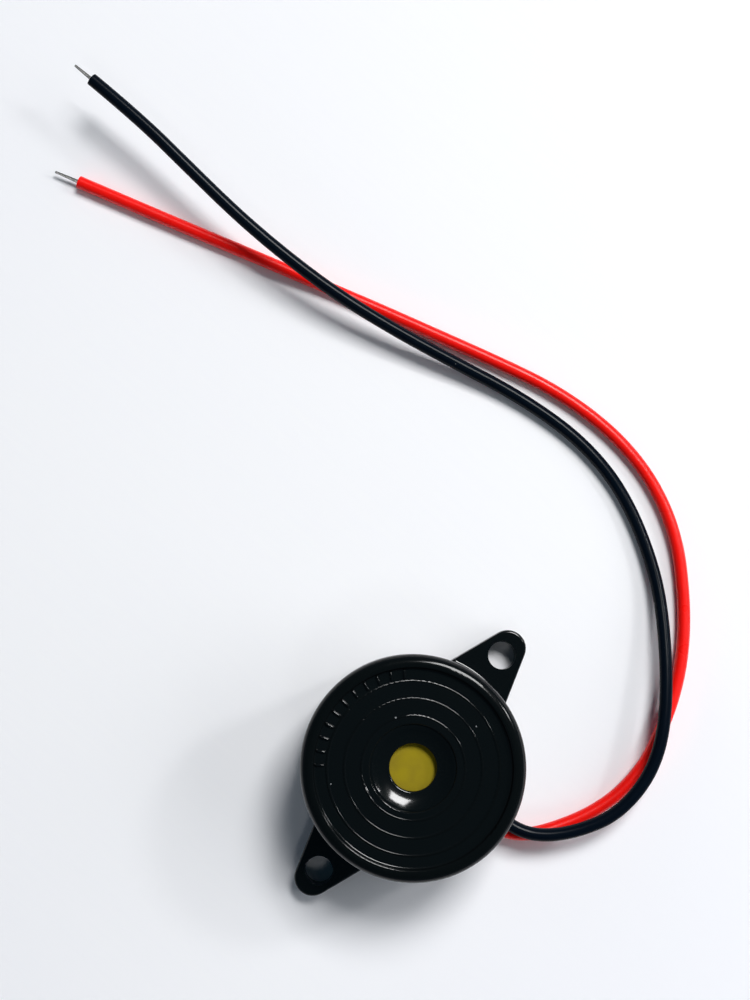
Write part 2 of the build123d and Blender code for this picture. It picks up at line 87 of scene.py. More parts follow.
class Graph:
    """Short calls that add and join the nodes of one shader tree."""

    def __init__(self, tree: Tree) -> None:
        """Keep the tree that the calls work on.

        Args:
            tree: The tree.
        """
        self.tree = tree

    def node(
        self, kind: str, inputs: dict[str | int, object] | None = None, **settings: object
    ) -> Node:
        """Add a node.

        Args:
            kind: The node's type.
            inputs: Values, or sockets to link, by the name or index of the input.
            **settings: The node's own attributes.

        Returns:
            The new node.
        """
        made = self.tree.nodes.new(kind)
        for name, value in settings.items():
            setattr(made, name, value)
        for name, value in (inputs or {}).items():
            self.feed(made.inputs[name], value)
        return made

    def feed(self, socket: Socket, value: object) -> None:
        """Link a socket into an input, or set the input's own value.

        Args:
            socket: The input.
            value: A socket, a colour of three parts, or a plain value.
        """
        if isinstance(value, Socket):
            self.tree.links.new(value, socket)
        elif socket.type == "RGBA":
            socket.default_value = (*value, 1.0)
        else:
            socket.default_value = value

    def place(self) -> Socket:
        """Read where the surface is.

        Returns:
            The object coordinates' socket.
        """
        return self.node("ShaderNodeTexCoord").outputs["Object"]

    def along(self, vector: Socket, axis: str) -> Socket:
        """Take one coordinate out of a vector.

        Args:
            vector: The vector.
            axis: X, Y or Z.

        Returns:
            The coordinate's socket.
        """
        return self.node("ShaderNodeSeparateXYZ", {"Vector": vector}).outputs[axis]

    def sums(self, operation: str, *values: object) -> Socket:
        """Work out a value from others.

        Args:
            operation: The name of the sum, as the Math node has it.
            *values: Numbers or sockets.

        Returns:
            The result's socket.
        """
        return self.node("ShaderNodeMath", dict(enumerate(values)), operation=operation).outputs[0]

    def spread(self, value: Socket, low: float, high: float, span: Span = WHOLE_SPAN) -> Socket:
        """Map a value onto a range, held at its ends.

        Args:
            value: The value to map.
            low: The result at the start of the span.
            high: The result at its end.
            span: Where the value's own span starts and ends.

        Returns:
            The mapped value's socket.
        """
        inputs = {
            "Value": value,
            "From Min": span[0],
            "From Max": span[1],
            "To Min": low,
            "To Max": high,
        }
        return self.node("ShaderNodeMapRange", inputs).outputs["Result"]

    def mask(self, value: Socket, span: Span) -> Socket:
        """Make a mask that rises from 0 to 1 over a span of a value.

        Args:
            value: The value.
            span: Where the mask starts to rise, and where it is full.

        Returns:
            The mask's socket.
        """
        return self.spread(value, 0.0, 1.0, span)

    def blend(self, mask: Socket, first: object, second: object) -> Socket:
        """Blend two colours by a mask.

        Args:
            mask: 0 for the first colour, 1 for the second.
            first: A colour or a socket.
            second: A colour or a socket.

        Returns:
            The blended colour's socket.
        """
        made = self.node("ShaderNodeMix", data_type="RGBA")
        for name, value in (("Factor_Float", mask), ("A_Color", first), ("B_Color", second)):
            self.feed(next(s for s in made.inputs if s.identifier == name), value)
        return next(s for s in made.outputs if s.identifier == "Result_Color")

    def noise(self, vector: Socket, scale: object, detail: float) -> Socket:
        """Add soft noise.

        Args:
            vector: Where to read it.
            scale: How fine it is, per metre.
            detail: How many finer layers it has.

        Returns:
            The noise, from 0 to 1.
        """
        inputs = {"Vector": vector, "Scale": scale, "Detail": detail}
        return self.node("ShaderNodeTexNoise", inputs).outputs["Fac"]

    def stretched(self, vector: Socket, scale: Point, turn: float) -> Socket:
        """Turn coordinates about the vertical and stretch them.

        Args:
            vector: The coordinates.
            scale: How much each axis is packed.
            turn: The turn in degrees.

        Returns:
            The new coordinates.
        """
        inputs = {"Vector": vector, "Rotation": (0.0, 0.0, math.radians(turn)), "Scale": scale}
        return self.node("ShaderNodeMapping", inputs).outputs["Vector"]


class Effect(Enum):
    """Effects that several finishes share, each a shader node group built once."""

    GRAIN = "moulding_grain"
    DUST = "dust_specks"
    SCRATCH = "fine_scratches"

    def group(self) -> Tree:
        """Give this effect's node group.

        Returns:
            The group, built on the first call.
        """
        found = bpy.data.node_groups.get(self.value)
        if found:
            return found
        group = bpy.data.node_groups.new(self.value, "ShaderNodeTree")
        makers: dict[Effect, Callable[[Tree], None]] = {
            Effect.GRAIN: self._grain,
            Effect.DUST: self._dust,
            Effect.SCRATCH: self._scratch,
        }
        makers[self](group)
        return group

    @staticmethod
    def _sockets(
        group: Tree, inputs: tuple[str, ...], outputs: tuple[str, ...]
    ) -> tuple[Graph, Node, Node]:
        """Open a group's sockets: a vector first, then plain values.

        Args:
            group: The group.
            inputs: Names of the values that come after the vector.
            outputs: Names of the values that come out.

        Returns:
            The group's graph, its input node and its output node.
        """
        group.interface.new_socket("Vector", in_out="INPUT", socket_type="NodeSocketVector")
        for name in inputs:
            group.interface.new_socket(name, in_out="INPUT", socket_type="NodeSocketFloat")
        for name in outputs:
            group.interface.new_socket(name, in_out="OUTPUT", socket_type="NodeSocketFloat")
        graph = Graph(group)
        return graph, graph.node("NodeGroupInput"), graph.node("NodeGroupOutput")

    @classmethod
    def _grain(cls, group: Tree) -> None:
        """Lay fine skin over slow waviness: Height for bumps, Shade for slow changes.

        Args:
            group: The empty group.
        """
        inputs, outputs = ("Fine", "Slow", "Wave Share"), ("Height", "Shade")
        graph, given, result = cls._sockets(group, inputs, outputs)
        fine = graph.noise(given.outputs["Vector"], given.outputs["Fine"], FINE_DETAIL)
        slow = graph.noise(given.outputs["Vector"], given.outputs["Slow"], SLOW_DETAIL)
        waves = graph.sums("MULTIPLY", slow, given.outputs["Wave Share"])
        graph.feed(result.inputs["Height"], graph.sums("ADD", fine, waves))
        graph.feed(result.inputs["Shade"], slow)

    @classmethod
    def _dust(cls, group: Tree) -> None:
        """Scatter sparse round specks of uneven size: Mask is 1 on a speck.

        Args:
            group: The empty group.
        """
        graph, given, result = cls._sockets(group, ("Scale", "Size", "Share"), ("Mask",))
        inputs = {"Vector": given.outputs["Vector"], "Scale": given.outputs["Scale"]}
        cells = graph.node("ShaderNodeTexVoronoi", inputs)
        chance = graph.node("ShaderNodeSeparateColor", {"Color": cells.outputs["Color"]})
        reach = graph.sums("MULTIPLY", chance.outputs["Green"], given.outputs["Size"])
        inside = graph.sums("LESS_THAN", cells.outputs["Distance"], reach)
        chosen = graph.sums("LESS_THAN", chance.outputs["Red"], given.outputs["Share"])
        graph.feed(result.inputs["Mask"], graph.sums("MULTIPLY", inside, chosen))

    @classmethod
    def _scratch(cls, group: Tree) -> None:
        """Rub faint streaks in two directions: Mask is higher on a streak.

        Args:
            group: The empty group.
        """
        graph, given, result = cls._sockets(group, ("Scale",), ("Mask",))
        streaks = []
        for turn in SCRATCH_TURNS:
            lay = graph.stretched(given.outputs["Vector"], SCRATCH_STRETCH, turn)
            streaks.append(graph.noise(lay, given.outputs["Scale"], SCRATCH_DETAIL))
        peak = graph.sums("MAXIMUM", *streaks)
        graph.feed(result.inputs["Mask"], graph.mask(peak, SCRATCH_SPAN))


@dataclass(frozen=True)
class Grain:
    """Inputs of the grain effect: two kinds of noise per metre, and the share of the slow one."""

    fine: float = 9000.0
    slow: float = 500.0
    wave_share: float = 1.0


@dataclass(frozen=True)
class Dust:
    """Inputs of the dust effect: cells per metre, the largest speck, and the share with one."""

    scale: float
    size: float
    share: float


@dataclass(frozen=True)
class Finish:
    """A surface finish: its name, its plain values, and how its nodes vary them."""

    name: str
    colour: Colour
    roughness: float
    metallic: float = 0.0
    specular: float = 0.5
    bump: float = 0.00002
    gloss: float = 0.0
    gloss_index: float = 1.5
    gloss_roughness: float = 0.06
    unevenness: float = 0.15
    grain: Grain = Grain()

    def material(self) -> bpy.types.Material:
        """Give the finish's material.

        Returns:
            The material, built on the first call.
        """
        found = bpy.data.materials.get(self.name)
        if found:
            return found
        made = bpy.data.materials.new(self.name)
        made.use_nodes = True
        shader = made.node_tree.nodes["Principled BSDF"]
        shader.inputs["Base Color"].default_value = (*self.colour, 1.0)
        shader.inputs["Roughness"].default_value = self.roughness
        shader.inputs["Metallic"].default_value = self.metallic
        shader.inputs["Specular IOR Level"].default_value = self.specular
        shader.inputs["Coat Weight"].default_value = self.gloss
        shader.inputs["Coat IOR"].default_value = self.gloss_index
        shader.inputs["Coat Roughness"].default_value = self.gloss_roughness
        self.paint(Graph(made.node_tree), shader)
        return made

    def paint(self, graph: Graph, shader: Node) -> None:
        """Vary the finish over the surface.

        Args:
            graph: The material's graph.
            shader: Its Principled BSDF.
        """
        self.skin(graph, shader, graph.place())

    def effect(self, graph: Graph, effect: Effect, vector: Socket, **values: float) -> Node:
        """Place a shared effect in the material.

        Args:
            graph: The material's graph.
            effect: Which effect.
            vector: Where it reads its pattern.
            **values: Its inputs, with spaces in their names as underscores.

        Returns:
            The group's node.
        """
        made = graph.node("ShaderNodeGroup", node_tree=effect.group())
        graph.feed(made.inputs["Vector"], vector)
        for name, value in values.items():
            made.inputs[name.replace("_", " ").title()].default_value = value
        return made

    def skin(self, graph: Graph, shader: Node, vector: Socket) -> Node:
        """Give the surface its grain, in its bumps and its roughness.

        Args:
            graph: The material's graph.
            shader: Its Principled BSDF.
            vector: Where the grain reads its pattern.

        Returns:
            The grain's node.
        """
        grain = self.effect(graph, Effect.GRAIN, vector, **asdict(self.grain))
        self.raise_bumps(graph, shader, grain.outputs["Height"])
        uneven = self.uneven(graph, grain.outputs["Shade"], SLOW_SPAN)
        graph.feed(shader.inputs["Roughness"], uneven)
        return grain

    def uneven(self, graph: Graph, value: Socket, span: Span = WHOLE_SPAN) -> Socket:
        """Vary the roughness with a value.

        Args:
            graph: The material's graph.
            value: The value.
            span: Where the value's own span starts and ends.

        Returns:
            The uneven roughness.
        """
        low = self.roughness * (1 - self.unevenness)
        high = self.roughness * (1 + self.unevenness)
        return graph.spread(value, low, high, span)

    def raise_bumps(self, graph: Graph, shader: Node, height: Socket) -> None:
        """Raise small bumps on the surface.

        Args:
            graph: The material's graph.
            shader: Its Principled BSDF.
            height: How high the surface stands, from 0 to 1.
        """
        bumps = graph.node("ShaderNodeBump", {"Distance": self.bump, "Height": height})
        graph.feed(shader.inputs["Normal"], bumps.outputs["Normal"])


@dataclass(frozen=True)
class MouldedPlastic(Finish):
    """Glossy moulded plastic with a little dust, faint rubbing and duller crests."""

    unevenness: float = 0.12
    grain: Grain = Grain(fine=7000.0, slow=420.0, wave_share=2.5)
    dust: Dust = Dust(scale=1500.0, size=0.16, share=0.035)
    dust_colour: Colour = (0.22, 0.23, 0.24)
    dust_roughness: float = 0.4
    rub_scale: float = 260.0
    rub_roughness: float = 0.06
    crest_level: float = 0.01151
    crest_blend: float = 0.00003
    crest_gloss_share: float = 0.45

    def paint(self, graph: Graph, shader: Node) -> None:
        """Add the skin, dust that dulls the gloss, rubbed streaks and the crests' wear.

        Args:
            graph: The material's graph.
            shader: Its Principled BSDF.
        """
        place = graph.place()
        grain = self.effect(graph, Effect.GRAIN, place, **asdict(self.grain))
        dust = self.effect(graph, Effect.DUST, place, **asdict(self.dust))
        rubbed = self.effect(graph, Effect.SCRATCH, place, scale=self.rub_scale)
        self.raise_bumps(graph, shader, grain.outputs["Height"])
        speckled = graph.blend(dust.outputs["Mask"], self.colour, self.dust_colour)
        graph.feed(shader.inputs["Base Color"], speckled)
        slow = self.uneven(graph, grain.outputs["Shade"], SLOW_SPAN)
        worn = graph.sums("MULTIPLY_ADD", rubbed.outputs["Mask"], self.rub_roughness, slow)
        dull = graph.sums("MULTIPLY_ADD", dust.outputs["Mask"], self.dust_roughness, worn)
        graph.feed(shader.inputs["Roughness"], dull)
        crest_span = (self.crest_level, self.crest_level + self.crest_blend)
        crest_gloss = self.gloss * self.crest_gloss_share
        glossy = graph.spread(graph.along(place, "Z"), self.gloss, crest_gloss, crest_span)
        graph.feed(shader.inputs["Coat Weight"], glossy)


@dataclass(frozen=True)
class RolledBrass(Finish):
    """Thin rolled brass with fine lines along the rolling and a slight tarnish."""

    line_scale: float = 420.0
    line_detail: float = 3.0
    line_stretch: Point = (1.0, 30.0, 1.0)
    line_turn: float = 18.0
    tarnish: Colour = (0.25, 0.185, 0.008)
    tarnish_scale: float = 420.0
    tarnish_detail: float = 2.0
    tarnish_span: Span = (0.35, 0.7)

    def paint(self, graph: Graph, shader: Node) -> None:
        """Add the rolling lines and the tarnish.

        Args:
            graph: The material's graph.
            shader: Its Principled BSDF.
        """
        place = graph.place()
        rolled = graph.stretched(place, self.line_stretch, self.line_turn)
        lines = graph.noise(rolled, self.line_scale, self.line_detail)
        clouds = graph.noise(place, self.tarnish_scale, self.tarnish_detail)
        toned = graph.blend(graph.mask(clouds, self.tarnish_span), self.colour, self.tarnish)
        graph.feed(shader.inputs["Base Color"], toned)
        graph.feed(shader.inputs["Roughness"], self.uneven(graph, lines))
        self.raise_bumps(graph, shader, lines)


@dataclass(frozen=True)
class Insulation(Finish):
    """Soft extruded insulation with a slight waviness and a little dust."""

    grain: Grain = Grain(fine=4000.0, slow=260.0, wave_share=3.0)
    shade: Colour = (0.0, 0.0, 0.0)
    shade_span: Span = (0.3, 0.75)
    dust: Dust = Dust(scale=1700.0, size=0.13, share=0.02)
    dust_tint: float = 0.6
    dust_paleness: float = 0.2

    def paint(self, graph: Graph, shader: Node) -> None:
        """Add slow changes of colour and gloss along the wire, and dust.

        Args:
            graph: The material's graph.
            shader: Its Principled BSDF.
        """
        place = graph.place()
        grain = self.skin(graph, shader, place)
        shaded = graph.mask(grain.outputs["Shade"], self.shade_span)
        toned = graph.blend(shaded, self.colour, self.shade)
        dust = self.effect(graph, Effect.DUST, place, **asdict(self.dust))
        pale = tuple(self.dust_tint * part + self.dust_paleness for part in self.colour)
        graph.feed(shader.inputs["Base Color"], graph.blend(dust.outputs["Mask"], toned, pale))


@dataclass(frozen=True)
class TwoTone(Finish):
    """A finish of two colours in a soft, fine or streaky mix."""

    unevenness: float = 0.2
    second: Colour = (0.5, 0.5, 0.5)
    scale: float = 1500.0
    detail: float = 4.0
    stretch: Point = (1.0, 1.0, 1.0)
    mix_span: Span = (0.4, 0.62)

    def paint(self, graph: Graph, shader: Node) -> None:
        """Mix the two colours, and let the mix raise the surface.

        Args:
            graph: The material's graph.
            shader: Its Principled BSDF.
        """
        place = graph.stretched(graph.place(), self.stretch, 0.0)
        mix = graph.noise(place, self.scale, self.detail)
        toned = graph.blend(graph.mask(mix, self.mix_span), self.colour, self.second)
        graph.feed(shader.inputs["Base Color"], toned)
        graph.feed(shader.inputs["Roughness"], self.uneven(graph, mix))
        self.raise_bumps(graph, shader, mix)


@dataclass(frozen=True)
class WoundWire(Finish):
    """Enamelled copper wire, wound in close turns round a vertical core, with painted shade between
    the turns.
    """

    pitch: float = 0.00018
    gap_shade: float = 0.25

    def paint(self, graph: Graph, shader: Node) -> None:
        """Raise the turns, and paint shade into the gaps between them.

        Args:
            graph: The material's graph.
            shader: Its Principled BSDF.
        """
        turns = graph.sums("PINGPONG", graph.along(graph.place(), "Z"), self.pitch / 2)
        raised = graph.mask(turns, (0.0, self.pitch / 2))
        # Painted shade: the gaps take the copper's colour, darkened, with the turns' rise as the
        # mask.
        gap_painted_shade = tuple(self.gap_shade * part for part in self.colour)
        graph.feed(shader.inputs["Base Color"], graph.blend(raised, gap_painted_shade, self.colour))
        self.raise_bumps(graph, shader, raised)


@dataclass(frozen=True)
class BandedBody(Finish):
    """A resistor's lacquered body with evenly placed colour bands across it."""

    grain: Grain = Grain(fine=6000.0, slow=900.0, wave_share=2.0)
    middle: float = 0.0
    bands: tuple[Colour, ...] = (
        (0.18, 0.05, 0.01),
        (0.01, 0.01, 0.01),
        (0.55, 0.16, 0.01),
        (0.45, 0.32, 0.05),
    )
    pitch: float = 0.0007
    width: float = 0.0003

    def paint(self, graph: Graph, shader: Node) -> None:
        """Lay each band over the body colour.

        Args:
            graph: The material's graph.
            shader: Its Principled BSDF.
        """
        place = graph.place()
        along = graph.along(place, "X")
        painted: object = self.colour
        for number, colour in enumerate(self.bands):
            centre = self.middle + (number - (len(self.bands) - 1) / 2) * self.pitch
            band = graph.sums("COMPARE", along, centre, self.width / 2)
            painted = graph.blend(band, painted, colour)
        graph.feed(shader.inputs["Base Color"], painted)
        self.skin(graph, shader, place)


@dataclass(frozen=True)
class Paper(Finish):
    """White drawing paper with a faint lay of its fibres and a cool cast in places."""

    cool: Colour = (0.92, 0.922, 0.962)
    cast_scale: float = 9.0
    cast_detail: float = 1.0
    cast_span: Span = (0.42, 0.8)
    fibre_scale: float = 90.0
    fibre_detail: float = 3.0
    fibre_stretch: Point = (14.0, 1.0, 1.0)
    fibre_turn: float = 49.0
    fibre_span: Span = (0.35, 0.75)
    fibre_share: float = 0.25

    def paint(self, graph: Graph, shader: Node) -> None:
        """Add the cool cast and the fibres.

        Args:
            graph: The material's graph.
            shader: Its Principled BSDF.
        """
        place = graph.place()
        cast = graph.noise(place, self.cast_scale, self.cast_detail)
        lay = graph.stretched(place, self.fibre_stretch, self.fibre_turn)
        fibres = graph.noise(lay, self.fibre_scale, self.fibre_detail)
        toned = graph.blend(graph.mask(cast, self.cast_span), self.colour, self.cool)
        lines = graph.spread(fibres, 0.0, self.fibre_share, self.fibre_span)
        graph.feed(shader.inputs["Base Color"], graph.blend(lines, toned, self.cool))
        self.raise_bumps(graph, shader, fibres)


CASE = MouldedPlastic(
    "moulded_case", (0.0026, 0.0038, 0.0041), 0.17, specular=0.08, bump=0.0000015,
    gloss=0.19, gloss_index=2.5, gloss_roughness=0.11,
)
MARKS = replace(CASE, name="moulded_marks", crest_gloss_share=1.0)
BRASS = RolledBrass(
    "rolled_brass", (0.32, 0.245, 0.004), 0.55, metallic=0.15, specular=0.2, bump=0.000004
)
RED_PVC = Insulation(
    "red_insulation", (0.98, 0.008, 0.0045), 0.3, specular=0.3, shade=(0.93, 0.007, 0.004)
)
BLACK_PVC = Insulation(
    "black_insulation", (0.0022, 0.0048, 0.0095), 0.25, specular=0.02, bump=0.000008,
    gloss=0.05, gloss_index=2.2, gloss_roughness=0.2, shade=(0.0018, 0.004, 0.008),
)
TINNED = TwoTone(
    "tinned_strands", (0.36, 0.355, 0.34), 0.32, metallic=1.0,
    second=(0.22, 0.215, 0.205), scale=5000.0,
)
SILVER = TwoTone(
    "printed_silver", (0.72, 0.71, 0.69), 0.45, metallic=0.9, second=(0.60, 0.59, 0.57)
)
LACQUER = BandedBody("lacquer", (0.55, 0.42, 0.25), 0.4)
RESISTORS = ("bias_resistor", "feedback_resistor", "discharge_resistor")
FINISHES: dict[str, Finish] = {
    "housing": CASE,
    "back_cover": CASE,
    "brass_plate": BRASS,
    "red_lead": RED_PVC,
    "red_lead_tail": RED_PVC,
    "black_lead": BLACK_PVC,
    "black_lead_tail": BLACK_PVC,
    "main_electrode": SILVER,
    "feedback_electrode": SILVER,
    "ceramic_disc": TwoTone("fired_ceramic", (0.62, 0.56, 0.44), 0.6, second=(0.55, 0.49, 0.37)),
    "bond_ring": TwoTone(
        "silicone_bead", (0.70, 0.70, 0.68), 0.35, second=(0.62, 0.62, 0.61), scale=900.0
    ),
    "circuit_board": TwoTone(
        "paper_board", (0.36, 0.20, 0.07), 0.55,
        second=(0.28, 0.15, 0.05), scale=700.0, stretch=(1.0, 6.0, 1.0),
    ),
    "transistor_body": Finish("moulded_epoxy", (0.012, 0.012, 0.013), 0.55),
    "choke_core": TwoTone(
        "pressed_ferrite", (0.035, 0.034, 0.034), 0.7, second=(0.055, 0.053, 0.05), scale=4000.0
    ),
    "choke_winding": WoundWire(
        "wound_copper", (0.62, 0.20, 0.06), 0.3, metallic=0.8, bump=0.00006
    ),
    "ground_wire": Insulation(
        "white_thin_wire", (0.68, 0.68, 0.66), 0.45, shade=(0.58, 0.58, 0.56)
    ),
    "main_wire": Insulation(
        "blue_thin_wire", (0.02, 0.09, 0.40), 0.45, shade=(0.015, 0.07, 0.32)
    ),
    "feedback_wire": Insulation(
        "yellow_thin_wire", (0.70, 0.46, 0.03), 0.45, shade=(0.60, 0.38, 0.02)
    ),
}


def start_fresh() -> None:
    """Leave edit mode and deselect everything, so that an operator acts only on what comes next."""
    if bpy.context.object and bpy.context.object.mode != "OBJECT":
        bpy.ops.object.mode_set(mode="OBJECT")
    bpy.ops.object.select_all(action="DESELECT")


def select_parts(piece: Piece, kind: str, chosen: Callable[[object], bool]) -> None:
    """Select faces or edges of the piece that is in edit mode.

    Args:
        piece: The piece.
        kind: FACE or EDGE.
        chosen: Says whether a part is selected.
    """
    bpy.ops.mesh.select_mode(type=kind)
    bpy.ops.mesh.select_all(action="DESELECT")
    bpy.ops.object.mode_set(mode="OBJECT")
    for part in {"FACE": piece.data.polygons, "EDGE": piece.data.edges}[kind]:
        part.select = chosen(part)
    bpy.ops.object.mode_set(mode="EDIT")


def edge_levels(piece: Piece, edge: bpy.types.MeshEdge) -> tuple[float, float]:
    """Give the heights of an edge's two ends.

    Args:
        piece: The piece.
        edge: One of its edges.

    Returns:
        The lower height and the upper one.
    """
    first, second = (piece.data.vertices[number].co.z for number in edge.vertices)
    return min(first, second), max(first, second)


def ring_of(piece: Piece, angles: list[float]) -> list[Piece]:
    """Set copies of a piece round the vertical axis, with the piece itself as the last of them.

    Args:
        piece: The piece, on the +X side.
        angles: How far each one is turned, in radians.

    Returns:
        The copies and the piece, in the order of the angles.
    """
    ring = []
    for _ in angles[1:]:
        copied = piece.copy()
        copied.data = piece.data.copy()
        bpy.context.collection.objects.link(copied)
        ring.append(copied)
    ring.append(piece)
    for member, angle in zip(ring, angles):
        member.data.transform(Matrix.Rotation(angle, 4, "Z"))
    return ring


def facing(place: Vector, direction: Vector) -> Matrix:
    """Give the pose of something that stands at a place with its +Z along a direction.

    Args:
        place: The place.
        direction: The direction.

    Returns:
        The pose.
    """
    return Matrix.Translation(place) @ direction.to_track_quat("Z", "Y").to_matrix().to_4x4()


def settle(piece: Piece, name: str, finish: Finish) -> Piece:
    """Name and dress a finished piece, and let it ride on the body.

    Args:
        piece: The piece, in its place.
        name: Its name.
        finish: Its finish.

    Returns:
        The piece.
    """
    piece.name = name
    piece.data.name = name
    piece.data.materials.clear()
    piece.data.materials.append(finish.material())
    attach(piece, BODY)
    LOG.info("%s: %s", name, finish.name)
    return piece


@dataclass
class FrontMarks:
    """A row of plain raised ticks round part of the rim's inside."""

    count: int = 11
    first_angle: float = 46.0
    last_angle: float = 129.0
    middle_radius: float = 0.00948
    length: float = 0.00105
    width: float = 0.00032
    height: float = 0.00024
    sunk: float = 0.00006
    top_length_share: float = 0.84
    top_width_share: float = 0.6
    edge_radius: float = 0.00008
    edge_steps: int = 3
    smooth_angle: float = 50.0
    floor_level: float = 0.0115

    def build(self) -> list[Piece]:
        """Model one tick, and copy it round the rim.

        Returns:
            The ticks.
        """
        step = (self.last_angle - self.first_angle) / (self.count - 1)
        angles = [math.radians(self.first_angle + number * step) for number in range(self.count)]
        ticks = ring_of(self._tick(), angles)
        for number, tick in enumerate(ticks, start=1):
            settle(tick, f"front_tick_{number:02d}", MARKS)
        return ticks

    def _tick(self) -> Piece:
        """Model one tick on the +X side: a bar with a narrower top and rounded edges.

        Returns:
            The tick.
        """
        start_fresh()
        tall = self.height + self.sunk
        level = self.floor_level + self.height - tall / 2
        bpy.ops.mesh.primitive_cube_add(size=1.0, location=(self.middle_radius, 0.0, level))
        tick = bpy.context.object
        tick.scale = (self.length, self.width, tall)
        bpy.ops.object.transform_apply(location=True, rotation=True, scale=True)
        half_way = self.floor_level + self.height / 2
        bpy.ops.object.mode_set(mode="EDIT")
        select_parts(tick, "FACE", lambda face: face.normal.z > FACING_UP)
        bpy.ops.transform.resize(value=(self.top_length_share, self.top_width_share, 1.0))
        select_parts(tick, "EDGE", lambda edge: edge_levels(tick, edge)[1] > half_way)
        bpy.ops.mesh.bevel(offset=self.edge_radius, segments=self.edge_steps, affect="EDGES")
        bpy.ops.object.mode_set(mode="OBJECT")
        bpy.ops.object.shade_smooth_by_angle(angle=math.radians(self.smooth_angle))
        return tick


@dataclass
class BareTip:
    """The bare end of a lead: tinned strands, twisted and drawn to a point."""

    length: float
    radius: float = 0.00021
    hidden: float = 0.0006
    strands_across: int = 3
    outer_strands: int = 6
    turns: float = 1.6
    drawn_in: float = 0.45
    sides: int = 12
    rings: int = 28
    blunt_share: float = 0.5
    blunt_steps: int = 2
    smooth_angle: float = 60.0

    def build(self, name: str, end: Vector, direction: Vector) -> Piece:
        """Twist the strands, and set them in the end of the insulation.

        Args:
            name: The piece's name.
            end: Where the insulation ends.
            direction: Which way the tip points.

        Returns:
            The tip.
        """
        strand_radius = self.radius / self.strands_across
        inner = self._strand(strand_radius, 0.0)
        outer = self._strand(strand_radius, 2 * strand_radius)
        angles = [number * math.tau / self.outer_strands for number in range(self.outer_strands)]
        strands = [inner, *ring_of(outer, angles)]
        start_fresh()
        for strand in strands:
            strand.select_set(True)
        bpy.context.view_layer.objects.active = outer
        bpy.ops.object.join()
        tip = bpy.context.object
        self._deform(tip, "TWIST", angle=self.turns * math.tau)
        self._deform(tip, "TAPER", factor=-self.drawn_in)
        tip.matrix_world = facing(end, direction)
        bpy.ops.object.transform_apply(location=True, rotation=True, scale=True)
        bpy.ops.object.shade_smooth_by_angle(angle=math.radians(self.smooth_angle))
        return settle(tip, name, TINNED)

    def _strand(self, radius: float, offset: float) -> Piece:
        """Model one straight strand along +Z with a blunt end.

        Args:
            radius: The strand's radius.
            offset: How far it lies from the axis.

        Returns:
            The strand.
        """
        start_fresh()
        whole = self.length + self.hidden
        place = (offset, 0.0, whole / 2 - self.hidden)
        bpy.ops.mesh.primitive_cylinder_add(
            vertices=self.sides, radius=radius, depth=whole, location=place
        )
        strand = bpy.context.object
        bpy.ops.object.transform_apply(location=True, rotation=True, scale=True)
        bpy.ops.object.mode_set(mode="EDIT")
        select_parts(strand, "FACE", lambda face: face.normal.z > FACING_UP)
        blunt = radius * self.blunt_share
        bpy.ops.mesh.bevel(offset=blunt, segments=self.blunt_steps, affect="EDGES")
        select_parts(strand, "EDGE", lambda edge: self._rise(strand, edge) > self.length / 2)
        bpy.ops.mesh.subdivide(number_cuts=self.rings)
        bpy.ops.object.mode_set(mode="OBJECT")
        return strand

    @staticmethod
    def _rise(strand: Piece, edge: bpy.types.MeshEdge) -> float:
        """Give how far an edge runs along the strand.

        Args:
            strand: The strand.
            edge: One of its edges.

        Returns:
            The rise.
        """
        low, high = edge_levels(strand, edge)
        return high - low

    @staticmethod
    def _deform(tip: Piece, method: str, **amount: float) -> None:
        """Deform the tip along its length, and apply it.

        Args:
            tip: The joined strands.
            method: The kind of deforming.
            **amount: Its angle or factor.
        """
        deform = tip.modifiers.new(method.lower(), "SIMPLE_DEFORM")
        deform.deform_method = method
        deform.deform_axis = "Z"
        for name, value in amount.items():
            setattr(deform, name, value)
        bpy.ops.object.modifier_apply(modifier=deform.name)


@dataclass
class Lead:
    """One insulated lead, from the middle of the housing's wall to its bare tip."""

    node: str
    route: list[Point]
    length: float
    finish: Finish
    slot: Slot
    tip: BareTip
    diameter: float = 0.0014
    curve_order: int = 3
    steps_along: int = 14
    steps_round: int = 7

    def build(self) -> Piece:
        """Lay the lead along its route, and set its tip in its end.

        Returns:
            The lead.
        """
        line = bpy.data.curves.new(self.node, "CURVE")
        line.dimensions = "3D"
        spline = line.splines.new("NURBS")
        spline.points.add(len(self.route) - 1)
        for point, place in zip(spline.points, self.route):
            point.co = (*place, 1.0)
        spline.order_u = self.curve_order
        spline.use_endpoint_u = True
        spline.resolution_u = self.steps_along
        line.bevel_depth = self.diameter / 2
        line.bevel_resolution = self.steps_round
        line.use_fill_caps = True
        lead = bpy.data.objects.new(self.node, line)
        bpy.context.collection.objects.link(lead)
        settle(lead, f"{self.node}_insulation", self.finish)
        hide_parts(self.node)
        end = Vector(self.route[-1])
        bare = self.tip.build(f"{self.node}_strands", end, end - Vector(self.route[-2]))
        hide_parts(f"{self.node}_tip")
        return lead


